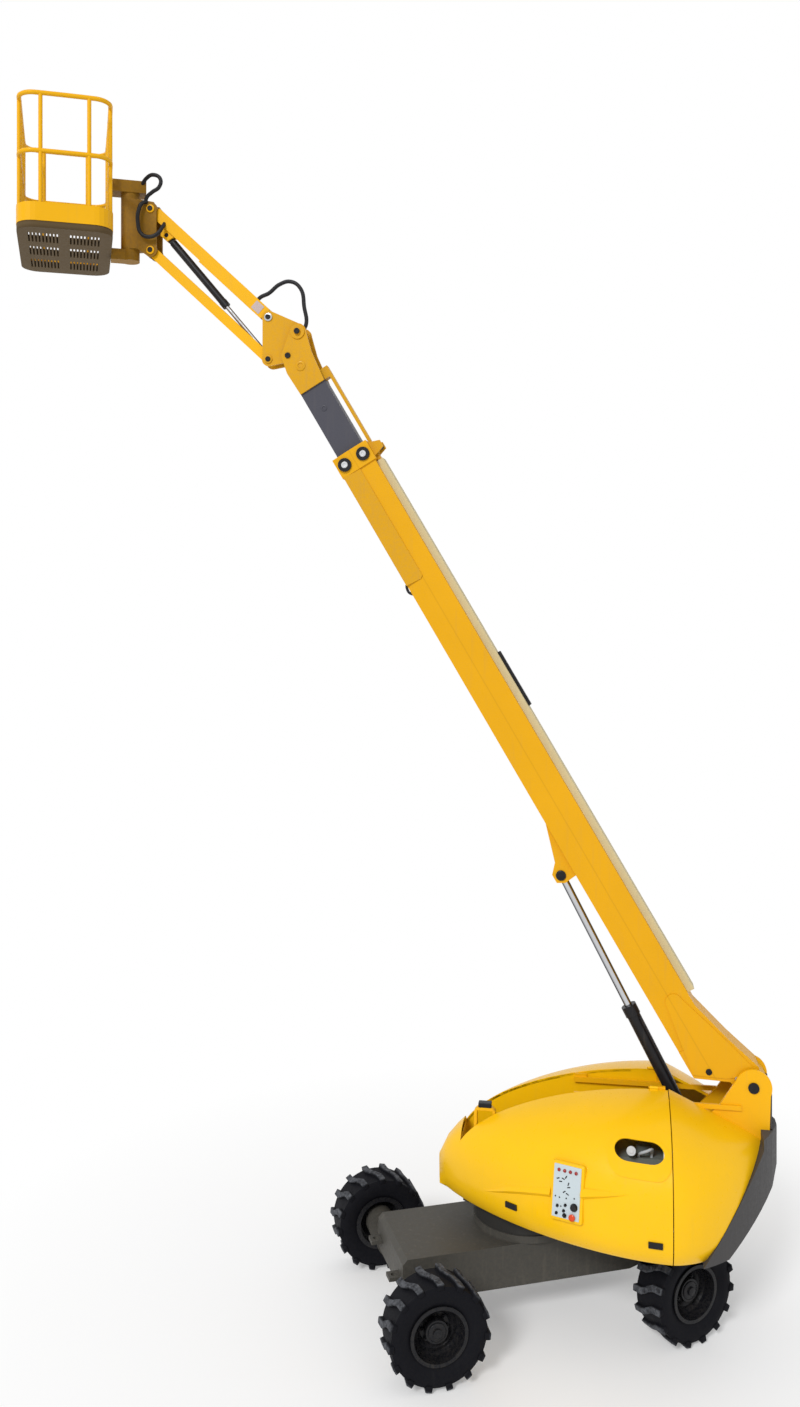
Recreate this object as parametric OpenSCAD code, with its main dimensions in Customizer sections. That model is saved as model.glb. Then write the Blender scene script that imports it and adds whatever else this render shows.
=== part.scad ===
// Telescopic boom lift with a parallelogram jib and a rotating basket.
// Millimetres. Origin on the ground under the slew axis, X forward, Y left, Z up.

/* [Wheels and chassis] */
// Diameter of a tyre over its lugs
tyre_d = 840; // [820:5:860]
// Width of a tyre over its lugs
tyre_w = 320; // [300:5:330]
// Distance between the wheel centres of one axle
track = 1800; // [1760:10:1840]
// Distance from the drive axle to the steer axle
wheelbase = 2100; // [2060:10:2140]
// Drive axle ahead of the slew axis
drive_x = 1100; // [1080:10:1120]
// Angle of the steered wheels as parked
steer_rest = 15; // [5:1:16]
// Width of the chassis box
chassis_w = 820; // [800:10:840]
// Height of the chassis deck
deck_z = 700; // [690:5:705]

/* [Turret] */
// Angle of the turret as parked, about the slew axis
slew_rest = -25.2; // [-30:0.1:-20]
// Clear width between the two hoods
slot_w = 460; // [450:5:480]
// Boom pivot ahead of the slew axis
pivot_x = -1910; // [-1920:5:-1900]
// Boom pivot above the ground
pivot_z = 2030; // [2025:5:2040]
// Half width of the turret at its widest
hood_half = 1120; // [1090:5:1140]
// Highest point of the hoods
hood_top = 1990; // [1970:5:2000]

/* [Boom] */
// Angle of the boom above level as parked
boom_rest = 59.5; // [57:0.5:61]
// Width of the outer section
boom_w = 280; // [274:2:284]
// Depth of the outer section
boom_h = 320; // [316:2:324]
// Pivot to the outer end of the collar
boom_len = 6400; // [6300:20:6440]
// Width of the inner section
inner_w = 200; // [196:2:208]
// Depth of the inner section
inner_h = 250; // [244:2:256]
// Diameter of the lift cylinder's barrel
lift_d = 116; // [110:1:120]

/* [Jib and basket] */
// Angle of the jib above level as parked
jib_rest = 43; // [38:1:45]
// Length of the jib links between their pins
jib_len = 1530; // [1500:10:1560]
// Upright distance between the two jib links
link_gap = 380; // [370:5:390]
// Width of the basket away from the jib
basket_x = 810; // [790:5:830]
// Length of the basket across the jib
basket_y = 1380; // [1300:10:1420]
// Height of the top rail above the floor
rail_h = 1100; // [1080:10:1120]
// Diameter of the rail tubes
rail_d = 40; // [36:1:42]

/* [Hidden] */
$fn = 64;

yellow = [0.96, 0.75, 0.05];
dark = [0.37, 0.35, 0.33];
black = [0.08, 0.08, 0.09];
bright = [0.8, 0.8, 0.82];

// Wheels: rolling radius, rim, and the upright steering axes inside the rims
tyre_r = tyre_d / 2;
rim_r = 215;
hub_d = 90;
fit = 0.3;
steer_x = drive_x - wheelbase;
wheel_y = track / 2;
king_y = wheel_y - 205;
arm_x = 150;
rod_rise = 38;
rod_x = steer_x + arm_x * cos(steer_rest);
rod_d = 40;
chassis_z = 350;
lug_len = 120;
lug_t = 30;
lug_y = 300;
lug_low = chassis_z + 160;
lug_hole = 50;
ring_top = deck_z + 60;
plate_z = tyre_d + 60;
plate_t = 30;
plate_top = plate_z + plate_t;

// Hood form: belt line where the turret is widest, lower edge, nose and tail
belt_z = 1160;
skirt_z = 940;
nose_x = 760;
wide_x = -1200;
tail_x = -2120;
seam_x = -1210;
shell_t = 26;
slot_end = 540;

// Cheek plates beside the boom root
cheek_in = boom_w / 2 + 25;
cheek_t = 25;

// Boom section, in a frame at the pivot with X along the boom
mid_z = -240;
top_z = mid_z + boom_h / 2;
under_z = mid_z - boom_h / 2;
wall = 12;
lug_x = 2260;
lug_z = under_z - 120;
lift_foot = [-1650, 1130];

// Head and jib pins, as parked, in the turret frame
head_at = [boom_len + 1169.3, mid_z + 137.6];
head_pin = boom_point(head_at);
level_pin = head_pin + [90, -210];
jib_pin = head_pin + [280, 150];
tip_pin = jib_pin + jib_len * [cos(jib_rest), sin(jib_rest)];
link_half = 55;
rotor_x = tip_pin[0] + 230;
floor_z = tip_pin[1] - 415;
yaw = -slew_rest;

function boom_point(p) = [pivot_x, pivot_z]
  + [p[0] * cos(boom_rest) - p[1] * sin(boom_rest), p[0] * sin(boom_rest) + p[1] * cos(boom_rest)];
function angle_of(v) = atan2(v[1], v[0]);
function unit_round(u, p, q) = pow(max(0, 1 - pow(u, p)), 1 / q);
function along(x) = x > wide_x ? (x - wide_x) / (nose_x - wide_x) : (wide_x - x) / (wide_x - tail_x);
function half_width(x) = hood_half * unit_round(along(x), 1.68, 1.3);
function crown(x) = x > wide_x ? belt_z + (hood_top - belt_z) * unit_round(along(x), 2, 1.8)
  : hood_top - (hood_top - 1560) * along(x);

// Places
module on_turret() rotate([0, 0, slew_rest]) children();
module at_turret(p) on_turret() translate([p[0], 0, p[1]]) children();
module in_boom() at_turret([pivot_x, pivot_z]) rotate([0, -boom_rest, 0]) children();
module on_kingpin(side) translate([steer_x, side * king_y, tyre_r])
  rotate([0, 0, steer_rest]) children();
module on_basket() at_turret([rotor_x, 0]) rotate([0, 0, yaw]) children();

// A plate in the XZ plane, from y0 to y1, and its mirror image
module plate_xz(y0, y1) translate([0, y1, 0]) rotate([90, 0, 0]) linear_extrude(y1 - y0) children();
module pair_xz(y0, y1) { plate_xz(y0, y1) children(); plate_xz(-y1, -y0) children(); }
module bar_y(d, y0, y1, p = [0, 0]) translate([p[0], y0, p[1]]) rotate([-90, 0, 0])
  cylinder(d = d, h = y1 - y0);
module box(x0, x1, y0, y1, z0, z1) translate([x0, y0, z0]) cube([x1 - x0, y1 - y0, z1 - z0]);

// Chassis

module chassis_frame() color(dark) difference() {
  union() {
    plate_xz(-chassis_w / 2, chassis_w / 2) polygon([[drive_x + 120, deck_z - 40],
      [drive_x + 80, deck_z], [steer_x - 60, deck_z], [steer_x - 110, deck_z - 60],
      [steer_x - 110, chassis_z + 90], [steer_x + 200, chassis_z], [drive_x - 200, chassis_z],
      [drive_x + 120, chassis_z + 60]]);
    for (sx = [drive_x + 100, steer_x - 100 - lug_len], sy = [-1, 1])
      box(sx, sx + lug_len, sy * lug_y - 55, sy * lug_y + 55, lug_low, lug_low + lug_t);
  }
  box(steer_x - 70, drive_x + 80, -chassis_w / 2 + 20, chassis_w / 2 - 20, chassis_z - 1, deck_z - 20);
  for (sx = [drive_x, steer_x]) bar_y(160, -chassis_w, chassis_w, [sx, tyre_r]);
  bar_y(70, -chassis_w, chassis_w, [rod_x, tyre_r + rod_rise]);
  for (sx = [drive_x + 168, steer_x - 168], sy = [-1, 1])
    translate([sx, sy * lug_y, lug_low - 1]) cylinder(d = lug_hole, h = lug_t + 2);
  translate([0, 0, deck_z - 30]) cylinder(d = 500, h = 60);
}

module axle_beam(x, reach) {
  bar_y(130, -reach, reach, [x, tyre_r]);
  for (s = [-1, 1]) bar_y(250, s * (chassis_w / 2 + 12) - 12, s * (chassis_w / 2 + 12) + 12, [x, tyre_r]);
}

module drive_axle() color(dark) {
  axle_beam(drive_x, wheel_y - 60);
  translate([drive_x, 0, tyre_r]) rotate([90, 0, 0]) cylinder(d = 158, h = 240, center = true);
  for (s = [-1, 1]) {
    bar_y(260, s * (wheel_y - 130) - 70, s * (wheel_y - 130) + 70, [drive_x, tyre_r]);
    bar_y(hub_d, s * wheel_y - 62, s * wheel_y + 62, [drive_x, tyre_r]);
  }
}

module steer_axle() color(dark) difference() {
  union() {
    axle_beam(steer_x, king_y - 110);
    for (s = [-1, 1], dz = [-105, 105]) translate([steer_x, s * king_y, tyre_r + dz]) {
      cylinder(d = 110, h = 30, center = true);
      translate([-45, min(0, -s * 190), -15]) cube([90, 190, 30]);
    }
    for (s = [-1, 1]) box(steer_x - 45, steer_x + 45, s * (king_y - 150) - 40, s * (king_y - 150) + 40,
      tyre_r - 120, tyre_r + 120);
    bar_y(90, -200, 200, [rod_x, tyre_r + rod_rise]);
    box(steer_x, rod_x - 30, -60, 60, tyre_r + rod_rise - 20, tyre_r + rod_rise + 10);
  }
  bar_y(rod_d + 2 * fit, -201, 201, [rod_x, tyre_r + rod_rise]);
}

module slew_ring() color(dark) translate([0, 0, deck_z]) difference() {
  cylinder(d = 900, h = 60 - fit);
  translate([0, 0, -1]) cylinder(d = 620, h = 62);
}

module knuckle(side) color(dark) on_kingpin(side) difference() {
  union() {
    cylinder(d = 100, h = 180 - 2 * fit, center = true);
    bar_y(120, side > 0 ? 30 : -150, side > 0 ? 150 : -30);
    bar_y(hub_d, side > 0 ? 100 : -267, side > 0 ? 267 : -100);
    translate([0, -28, -12]) cube([arm_x + 26, 56, 24]);
  }
  translate([arm_x, 0, -50]) cylinder(d = 25, h = 100);
}
module knuckle_left() knuckle(1);
module knuckle_right() knuckle(-1);

module track_rod() color(bright) {
  shift = arm_x * sin(steer_rest);
  bar_y(rod_d, -king_y + shift + 15, king_y + shift - 15, [rod_x, tyre_r + rod_rise]);
  for (s = [-1, 1]) translate([rod_x, s * king_y + shift, tyre_r + rod_rise - 20]) cylinder(d = 54, h = rod_d);
}

// Wheels: the tyre's section and the dished rim, both turned about Y

module tyre_form() rotate([90, 0, 0]) rotate_extrude($fn = 72) polygon([
  [rim_r, -110], [rim_r + 25, -130], [tyre_r - 110, -tyre_w / 2 + 5], [tyre_r - 45, -tyre_w / 2],
  [tyre_r - 8, -tyre_w / 2 + 22], [tyre_r, 0], [tyre_r - 8, tyre_w / 2 - 22],
  [tyre_r - 45, tyre_w / 2], [tyre_r - 110, tyre_w / 2 - 5], [rim_r + 25, 130], [rim_r, 110]]);

module rim_form() rotate([-90, 0, 0]) rotate_extrude($fn = 72) polygon([
  [hub_d / 2 + fit, -40], [120, -40], [150, -10], [175, -60], [rim_r - 20, -60], [rim_r - 20, -140],
  [rim_r + 18, -140], [rim_r + 18, -131], [rim_r - fit, -115], [rim_r - fit, 115],
  [rim_r + 18, 131], [rim_r + 18, 140], [rim_r - 10, 140], [rim_r - 20, 40], [180, 10],
  [150, 20], [120, -8], [90, -8], [90, 70], [hub_d / 2 + fit, 70]]);

module drive_place(side) translate([drive_x, side * wheel_y, tyre_r])
  mirror([0, side < 0 ? 1 : 0, 0]) children();
module steer_place(side) on_kingpin(side) translate([0, side * (wheel_y - king_y), 0])
  mirror([0, side < 0 ? 1 : 0, 0]) children();

module tyre_drive_left() color(black) drive_place(1) tyre_form();
module tyre_drive_right() color(black) drive_place(-1) tyre_form();
module tyre_steer_left() color(black) steer_place(1) tyre_form();
module tyre_steer_right() color(black) steer_place(-1) tyre_form();
module rim_drive_left() color(black) drive_place(1) rim_form();
module rim_drive_right() color(black) drive_place(-1) rim_form();
module rim_steer_left() color(black) steer_place(1) rim_form();
module rim_steer_right() color(black) steer_place(-1) rim_form();

// Turret

module cheek_outline() {
  polygon([[-1130, plate_top - 1], [-1260, 1480], [pivot_x + 270, pivot_z - 150],
    [pivot_x + 110, pivot_z + 100], [pivot_x, pivot_z], [pivot_x - 140, pivot_z],
    [pivot_x - 110, 1150], [pivot_x + 60, plate_top - 1]]);
  translate([pivot_x, pivot_z]) circle(r = 150);
}

module turntable() color(yellow) on_turret() difference() {
  union() {
    translate([0, 0, ring_top]) cylinder(d = 880, h = plate_z - ring_top + 1);
    translate([0, 0, plate_z]) linear_extrude(plate_t) polygon([[520, -200], [520, 200], [150, 430],
      [-1300, 430], [-1880, 200], [-1880, -200], [-1300, -430], [150, -430]]);
    pair_xz(cheek_in, cheek_in + cheek_t) cheek_outline();
    pair_xz(cheek_in + cheek_t - 1, cheek_in + cheek_t + 20) polygon([[pivot_x + 100, pivot_z - 190],
      [-420, pivot_z - 190], [-420, pivot_z - 150], [pivot_x + 100, pivot_z - 150]]);
    for (m = [0, 1]) mirror([0, m, 0]) {
      box(hinge_x, hinge_x + hinge_block, slot_w / 2 - 26, slot_w / 2 - fit, pivot_z - 180, hinge_z + 12);
      translate([hinge_x, hinge_y, hinge_z]) rotate([0, 90, 0]) cylinder(d = hinge_d, h = hinge_block + hinge_leaf + 12);
      box(-530, -430, slot_w / 2 - 26, slot_w / 2 - fit, pivot_z - 180, crown(-430) - 6);
    }
    pair_xz(62, 87) {
      translate(lift_foot) circle(r = 80);
      polygon([[lift_foot[0] - 110, plate_top - 1], [lift_foot[0] + 110, plate_top - 1],
        [lift_foot[0] + 70, lift_foot[1] + 30], [lift_foot[0] - 70, lift_foot[1] + 30]]);
    }
  }
  bar_y(90, -400, 400, [pivot_x, pivot_z]);
  bar_y(60, -87.1, 87.1, lift_foot);
  translate([0, 0, ring_top - 1]) cylinder(d = 400, h = 300);
}

module pivot_pins() color(black) on_turret() {
  pin_half = cheek_in + cheek_t + 14;
  bar_y(90 - 2 * fit, -pin_half, pin_half, [pivot_x, pivot_z]);
  bar_y(60 - 2 * fit, -87, 87, lift_foot);
}

// One half of the hood form: a loft through cross-sections from the crown to the skirt.
// The section runs out to the belt line in a rounded shoulder and tucks in below it.
stations = 26;
shoulder = 10;
function station_x(i, x0, x1) = x0 + (x1 - x0) * i / stations;
function section(x, t) = let(w = max(half_width(x) - t, 4), c = crown(x) - t, n = 2.6) concat(
  [for (j = [0:shoulder]) let(a = 90 * j / shoulder)
    [w * pow(sin(a), 2 / n), belt_z + (c - belt_z) * pow(cos(a), 2 / n)]],
  [[max(w - 6, 3.6), belt_z - 90], [max(w - 50, 3.3), skirt_z + 30], [max(w - 80, 3), skirt_z]]);
cols = shoulder + 4;

module half_shell(x0, x1) {
  xs = [for (i = [0:stations]) station_x(i, x0, x1)];
  outer = [for (x = xs) [for (p = section(x, 0)) [x, p[0], p[1]]]];
  inner = [for (x = xs) [for (p = section(x, shell_t)) [x, p[0], p[1]]]];
  points = concat([for (r = outer) each r], [for (r = inner) each r]);
  off = cols * (stations + 1);
  function id(k, i, j) = k * off + i * cols + j;
  faces = concat(
    [for (i = [0:stations - 1], j = [0:cols - 2])
      [id(0, i, j), id(0, i + 1, j), id(0, i + 1, j + 1), id(0, i, j + 1)]],
    [for (i = [0:stations - 1], j = [0:cols - 2])
      [id(1, i, j), id(1, i, j + 1), id(1, i + 1, j + 1), id(1, i + 1, j)]],
    [for (i = [0:stations - 1]) [id(0, i + 1, 0), id(0, i, 0), id(1, i, 0), id(1, i + 1, 0)]],
    [for (i = [0:stations - 1]) let(e = cols - 1) [id(0, i, e), id(0, i + 1, e), id(1, i + 1, e), id(1, i, e)]],
    [for (j = [0:cols - 2]) [id(0, 0, j), id(0, 0, j + 1), id(1, 0, j + 1), id(1, 0, j)]],
    [for (j = [0:cols - 2]) let(e = stations) [id(0, e, j + 1), id(0, e, j), id(1, e, j), id(1, e, j + 1)]]);
  polyhedron(points, faces, convexity = 8);
}

module hood_form() difference() {
  half_shell(seam_x, nose_x - 6);
  box(seam_x - 10, slot_end, -1, slot_w / 2, skirt_z - 1, hood_top + 10);
  box(slot_end - 10, nose_x, -1, 4, skirt_z - 1, hood_top + 10);
}

// Hood hinge: a pin on the turntable, and a knuckle on the hood beside the pin's block
hinge_y = slot_w / 2 - 6;
hinge_z = hood_top + 2;
hinge_x = -1190;
hinge_block = 60;
hinge_leaf = 66;
hinge_d = 16;
module hood_hinge() difference() {
  union() {
    translate([hinge_x + hinge_block + 2, hinge_y, hinge_z]) rotate([0, 90, 0]) cylinder(d = 26, h = hinge_leaf);
    box(hinge_x + hinge_block + 2, hinge_x + hinge_block + 2 + hinge_leaf, hinge_y + 2, hinge_y + 34,
      hinge_z - 34, hinge_z);
  }
  translate([hinge_x, hinge_y, hinge_z]) rotate([0, 90, 0]) cylinder(d = hinge_d + 2 * fit, h = 200);
}

oval_x = -960;
oval_z = 1690;
panel_x = -400;
panel_z = 1390;

module hood_left() color(yellow) on_turret() difference() {
  union() {
    hood_form();
    hood_hinge();
  }
  panel_block(fit);
  latch_pair(fit);
  translate([oval_x, hood_half, oval_z]) rotate([90, 0, 0]) linear_extrude(600) {
    translate([-130, 0]) circle(r = 110);
    translate([130, 0]) circle(r = 110);
    square([260, 220], center = true);
  }
}
module hood_right() color(yellow) on_turret() mirror([0, 1, 0]) difference() {
  union() {
    hood_form();
    hood_hinge();
  }
  latch_pair(fit);
}

module panel_block(grow) translate([panel_x, half_width(panel_x), panel_z]) rotate([-12, 0, 0])
  cube([230 + 2 * grow, 50 + 2 * grow, 400 + 2 * grow], center = true);
module control_panel() color([0.85, 0.86, 0.88]) on_turret() panel_block(0);

module latch_pair(grow) for (x = [60, -1080]) translate([x, half_width(x) - 8, 1120])
  rotate([0, 0, x > 0 ? -32 : -6]) cube([110 + 2 * grow, 40 + 2 * grow, 45 + 2 * grow], center = true);
module latches_left() color(black) on_turret() latch_pair(0);
module latches_right() color(black) on_turret() mirror([0, 1, 0]) latch_pair(0);

// Tail: yellow cover ahead of a raked joint, counterweight behind and below it
module behind_rake() plate_xz(-1300, 1300) polygon([[-1420, 900], [-1960, 1600], [-1960, 1700],
  [-2400, 1700], [-2400, 900]]);

module tail_cover() color(yellow) on_turret() for (m = [0, 1]) mirror([0, m, 0]) difference() {
  half_shell(tail_x + 6, seam_x - 8);
  box(tail_x, seam_x, -1, cheek_in + cheek_t, skirt_z - 1, hood_top + 10);
  box(tail_x, seam_x, -1, cheek_in + cheek_t + 20 + fit, pivot_z - 190 - fit, pivot_z - 150 + fit);
  behind_rake();
}

module tail_solid() intersection() {
  translate([0, 0, plate_top]) linear_extrude(1690 - plate_top) polygon([
    for (m = [1, -1], i = [0:14]) let(x = m > 0 ? -1300 - i * 58 : -1300 - (14 - i) * 58)
      [x, m * (half_width(x) + 6)]]);
  plate_xz(-1300, 1300) polygon([[-1426, 906], [-1620, 906], [-2060, 1240], [-2130, 1400], [-2110, 1690],
    [-1966, 1690], [-1966, 1602]]);
}

module counterweight() color(dark) on_turret() difference() {
  tail_solid();
  box(pivot_x - 152, -1300, -cheek_in - cheek_t - fit, cheek_in + cheek_t + fit, 890, 1700);
}

module rear_grille() color(dark) on_turret() {
  for (i = [0:7]) box(pivot_x - 150, pivot_x - 136, -cheek_in, cheek_in, 1720 + i * 40, 1740 + i * 40);
  for (s = [-1, 1]) box(pivot_x - 150, pivot_x - 136, s * (cheek_in - 12) - 12, s * (cheek_in - 12) + 12, 1690, 2030);
}

rest_x = 330;
rest_y = 150;
rest_top = pivot_z + under_z - 15;
module boom_rest_post() color(yellow) on_turret() {
  box(rest_x - 80, rest_x + 80, rest_y - 55, rest_y + 50, plate_top, rest_top - 40);
}
module boom_rest_pad() color(black) on_turret()
  box(rest_x - 60, rest_x + 60, rest_y - 50, rest_y + 45, rest_top - 40, rest_top);

module engine_block() color(dark) on_turret() box(-1000, -300, -740, -290, plate_top, 1450);
module fluid_tank() color(black) on_turret() {
  box(-1150, -700, 290, 700, plate_top, 1600);
  translate([-1000, 560, 1600]) cylinder(d = 120, h = 60);
}

// Boom

module boom_section(grow) polygon([[under_z - grow, boom_w / 2 - 12 + grow], [under_z + 110, boom_w / 2 + grow],
  [top_z + grow, boom_w / 2 + grow], [top_z + grow, -boom_w / 2 - grow],
  [under_z + 110, -boom_w / 2 - grow], [under_z - grow, -boom_w / 2 + 12 - grow]]);
module along_boom(x0, x1) translate([x0, 0, 0]) rotate([0, 90, 0]) mirror([1, 0, 0])
  linear_extrude(x1 - x0) children();

module boom_outer() color(yellow) in_boom() difference() {
  union() {
    along_boom(500, boom_len - 20) boom_section(0);
    along_boom(boom_len - 190, boom_len) boom_section(15);
    plate_xz(-boom_w / 2, boom_w / 2) {
      circle(r = 125);
      polygon([[510, under_z], [270, under_z], [110, -150], [0, -124], [-60, 105], [120, 118], [420, 20],
        [800, top_z - 1], [510, top_z - 1]]);
    }
    pair_xz(boom_w / 2 - 1, boom_w / 2 + 10) {
      polygon([[300, -390], [150, -160], [60, 100], [420, 0], [900, -150], [900, -290]]);
      translate([900, -220]) circle(r = 70);
    }
    pair_xz(44, 66) polygon([[lug_x - 60, under_z + 1], [lug_x - 75, lug_z], [lug_x - 40, lug_z - 65],
      [lug_x + 40, lug_z - 65], [lug_x + 120, lug_z + 10], [lug_x + 480, under_z + 1]]);
  }
  box(560, boom_len + 1, -boom_w / 2 + wall + 8, boom_w / 2 - wall - 8, under_z + wall, top_z - wall);
  bar_y(90, -400, 400);
  bar_y(60, -70, 70, [lug_x, lug_z]);
  for (dz = [-pad_rise, pad_rise]) bar_y(60, -300, 300, [boom_len - 95, mid_z + dz]);
}

pad_rise = 95;
module wear_pads() color(black) in_boom() for (m = [0, 1], dz = [-pad_rise, pad_rise]) mirror([0, m, 0]) {
  bar_y(120, boom_w / 2 + 15, boom_w / 2 + 29, [boom_len - 95, mid_z + dz]);
  bar_y(60 - 2 * fit, inner_w / 2 + fit, boom_w / 2 + 20, [boom_len - 95, mid_z + dz]);
}

tray_h = 60;
module hose_tray() color(dark) in_boom() difference() {
  box(900, boom_len - 200, -75, 75, top_z, top_z + tray_h);
  box(850, boom_len, -65, 65, top_z + 8, top_z + tray_h - 8);
}

lift_top = boom_point([lug_x, lug_z]);
lift_vec = lift_top - lift_foot;
barrel_len = 1660;
lift_rod_d = 66;
lift_grip = 472;
module in_lift() at_turret(lift_foot) rotate([0, -angle_of(lift_vec), 0]) children();
module along_x(d, x0, x1) translate([x0, 0, 0]) rotate([0, 90, 0]) cylinder(d = d, h = x1 - x0);

module lift_barrel() color(black) in_lift() difference() {
  union() {
    along_x(lift_d, 60, barrel_len);
    along_x(lift_d + 16, barrel_len - 90, barrel_len);
    bar_y(130, -56, 56);
  }
  bar_y(60, -60, 60);
  along_x(lift_d - 20, 160, barrel_len - 40);
  along_x(lift_rod_d + 2 * fit, 150, barrel_len + 1);
}

module lift_rod() color(bright) in_lift() difference() {
  union() {
    along_x(lift_rod_d, barrel_len - lift_grip, norm(lift_vec) - 30);
    along_x(lift_d - 26, barrel_len - lift_grip - 50, barrel_len - lift_grip);
    bar_y(96, -38, 38, [norm(lift_vec), 0]);
  }
  bar_y(60, -60, 60, [norm(lift_vec), 0]);
}

head_x = boom_len + 750;
module boom_inner() color(dark) in_boom() difference() {
  box(1300, head_x + 60, -inner_w / 2, inner_w / 2, mid_z - inner_h / 2, mid_z + inner_h / 2);
  box(1290, head_x + 70, -inner_w / 2 + 8, inner_w / 2 - 8, mid_z - inner_h / 2 + 8, mid_z + inner_h / 2 - 8);
}

function to_boom(p) = let(v = p - [pivot_x, pivot_z])
  [v[0] * cos(boom_rest) + v[1] * sin(boom_rest), -v[0] * sin(boom_rest) + v[1] * cos(boom_rest)];
level_at = to_boom(level_pin);

module head_outline() {
  polygon([[head_x - 80, mid_z - inner_h / 2], [head_x + 150, mid_z - inner_h / 2 - 10],
    level_at + [0, -60], level_at + [50, -30], head_at + [60, -40], head_at + [-20, 70],
    [head_x + 200, mid_z + inner_h / 2 + 30], [head_x - 80, mid_z + inner_h / 2]]);
  translate(head_at) circle(r = 75);
  translate(level_at) circle(r = 60);
}

module boom_head() color(yellow) in_boom() difference() {
  union() {
    pair_xz(inner_w / 2, inner_w / 2 + 18) head_outline();
    bar_y(130, -inner_w / 2 - 30, -inner_w / 2 + 14, head_at);
    bar_y(130, inner_w / 2 - 14, inner_w / 2 + 30, head_at);
  }
  bar_y(60, -200, 200, head_at);
  bar_y(50, -200, 200, level_at);
}

module hose_tube() color(yellow) in_boom() {
  box(1900, head_x + 40, -40, 40, top_z + 16, top_z + tray_h - 16);
  box(head_x - 60, head_x + 40, -40, 40, mid_z + inner_h / 2, top_z + 17);
}

// Jib

root_low = jib_pin - [0, link_gap];
tip_low = tip_pin - [0, link_gap];
rotor_z = tip_low[1] + 28;
rotor_top = tip_pin[1] + 165;
bracket_in = link_half + 8;
bracket_out = bracket_in + 20;
low_in = link_half - 11;
foot_in = 20;

module jib_root() color(yellow) on_turret() difference() {
  union() {
    pair_xz(bracket_in, bracket_out) {
      polygon([head_pin + [-60, 20], head_pin + [-30, 70], jib_pin + [-10, 60], jib_pin + [55, 20],
        root_low + [55, -20], root_low + [-20, -58], level_pin + [0, -50], level_pin + [-40, 60]]);
      translate(head_pin) circle(r = 65);
      translate(jib_pin) circle(r = 60);
      translate(root_low) circle(r = 60);
    }
    bar_y(100, -bracket_in - 1, bracket_in + 1, head_pin);
    bar_y(60 - 2 * fit, -inner_w / 2 - 42, inner_w / 2 + 42, head_pin);
  }
  for (p = [jib_pin, root_low]) bar_y(50, -200, 200, p);
}

module in_jib(p) at_turret(p) rotate([0, -jib_rest, 0]) children();

module jib_upper() color(yellow) in_jib(jib_pin) difference() {
  union() {
    box(40, jib_len - 40, -link_half, link_half, -45, 45);
    for (x = [0, jib_len]) bar_y(90, -link_half, link_half, [x, 0]);
    pair_xz(foot_in, foot_in + 18) polygon([[jib_len - 330, -40], [jib_len - 300, -120],
      [jib_len - 220, -120], [jib_len - 160, -40]]);
    for (x = [0, jib_len]) bar_y(50 - 2 * fit, -bracket_out, bracket_out, [x, 0]);
  }
  bar_y(40, -200, 200, [jib_len - 260, -80]);
}

module jib_lower() color(yellow) in_jib(root_low) {
  pair_xz(low_in, link_half) {
    translate([0, -45]) square([jib_len, 90]);
    for (x = [0, jib_len]) translate([x, 0]) circle(d = 90);
  }
  pair_xz(low_in, bracket_out) for (x = [0, jib_len]) translate([x, 0]) circle(d = 50 - 2 * fit);
  bar_y(24, -low_in - 1, low_in + 1, [jib_len - 80, -33]);
}

jib_foot = jib_pin + [(jib_len - 260) * cos(jib_rest) + 80 * sin(jib_rest),
                      (jib_len - 260) * sin(jib_rest) - 80 * cos(jib_rest)];
jib_eye = root_low + [0, 20];
jib_vec = jib_eye - jib_foot;
jib_barrel_len = 880;
jib_rod_d = 38;
rod_grip = 205;
module in_jib_lift() at_turret(jib_foot) rotate([0, -angle_of(jib_vec), 0]) children();

module jib_barrel() color(black) in_jib_lift() difference() {
  union() {
    along_x(70, 85, jib_barrel_len);
    along_x(76, jib_barrel_len - 60, jib_barrel_len);
    box(0, 90, -foot_in + fit, foot_in - fit, -28, 28);
    bar_y(66, -foot_in + fit, foot_in - fit);
    bar_y(40 - 2 * fit, -foot_in - 18, foot_in + 18);
  }
  along_x(56, 100, jib_barrel_len - 30);
  along_x(jib_rod_d + 2 * fit, 62, jib_barrel_len + 1);
}

module jib_rod() color(bright) in_jib_lift() difference() {
  union() {
    along_x(jib_rod_d, jib_barrel_len - rod_grip, norm(jib_vec) - 20);
    bar_y(66, -30, 30, [norm(jib_vec), 0]);
  }
  bar_y(36, -60, 60, [norm(jib_vec), 0]);
}

module jib_tip() color(yellow) on_turret() difference() {
  union() {
    pair_xz(bracket_in, bracket_out) {
      polygon([tip_pin + [-55, 0], tip_pin + [-30, 60], [rotor_x, tip_pin[1] + 120], [rotor_x, rotor_z],
        [rotor_x - 100, rotor_z], tip_low + [60, -30], tip_low + [-20, -58], tip_low + [-55, -10]]);
      for (p = [tip_pin, tip_low]) translate(p) circle(r = 60);
    }
    box(rotor_x - 120, rotor_x - 60, -bracket_in - 1, bracket_in + 1, rotor_z, tip_pin[1] + 100);
    translate([rotor_x, 0, rotor_z]) cylinder(d = 170, h = rotor_top - rotor_z);
  }
  for (p = [tip_pin, tip_low]) bar_y(50, -200, 200, p);
  translate([rotor_x, 0, 0]) cylinder(d = 60, h = 20000);
}

// Basket, in a frame on the rotator's axis with X away from the jib

near_x = 175;
far_x = near_x + basket_x;
half_y = basket_y / 2;
rail_r = 90;
rail_z = floor_z + 60 + rail_h;

module loop_path(inset, r) translate([near_x + inset, -half_y + inset])
  rounded(basket_x - 2 * inset, basket_y - 2 * inset, r);
module rounded(w, h, r) {
  translate([r, 0]) square([w - 2 * r, h]);
  translate([0, r]) square([w, h - 2 * r]);
  for (x = [r, w - r], y = [r, h - r]) translate([x, y]) circle(r = r);
}

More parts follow.
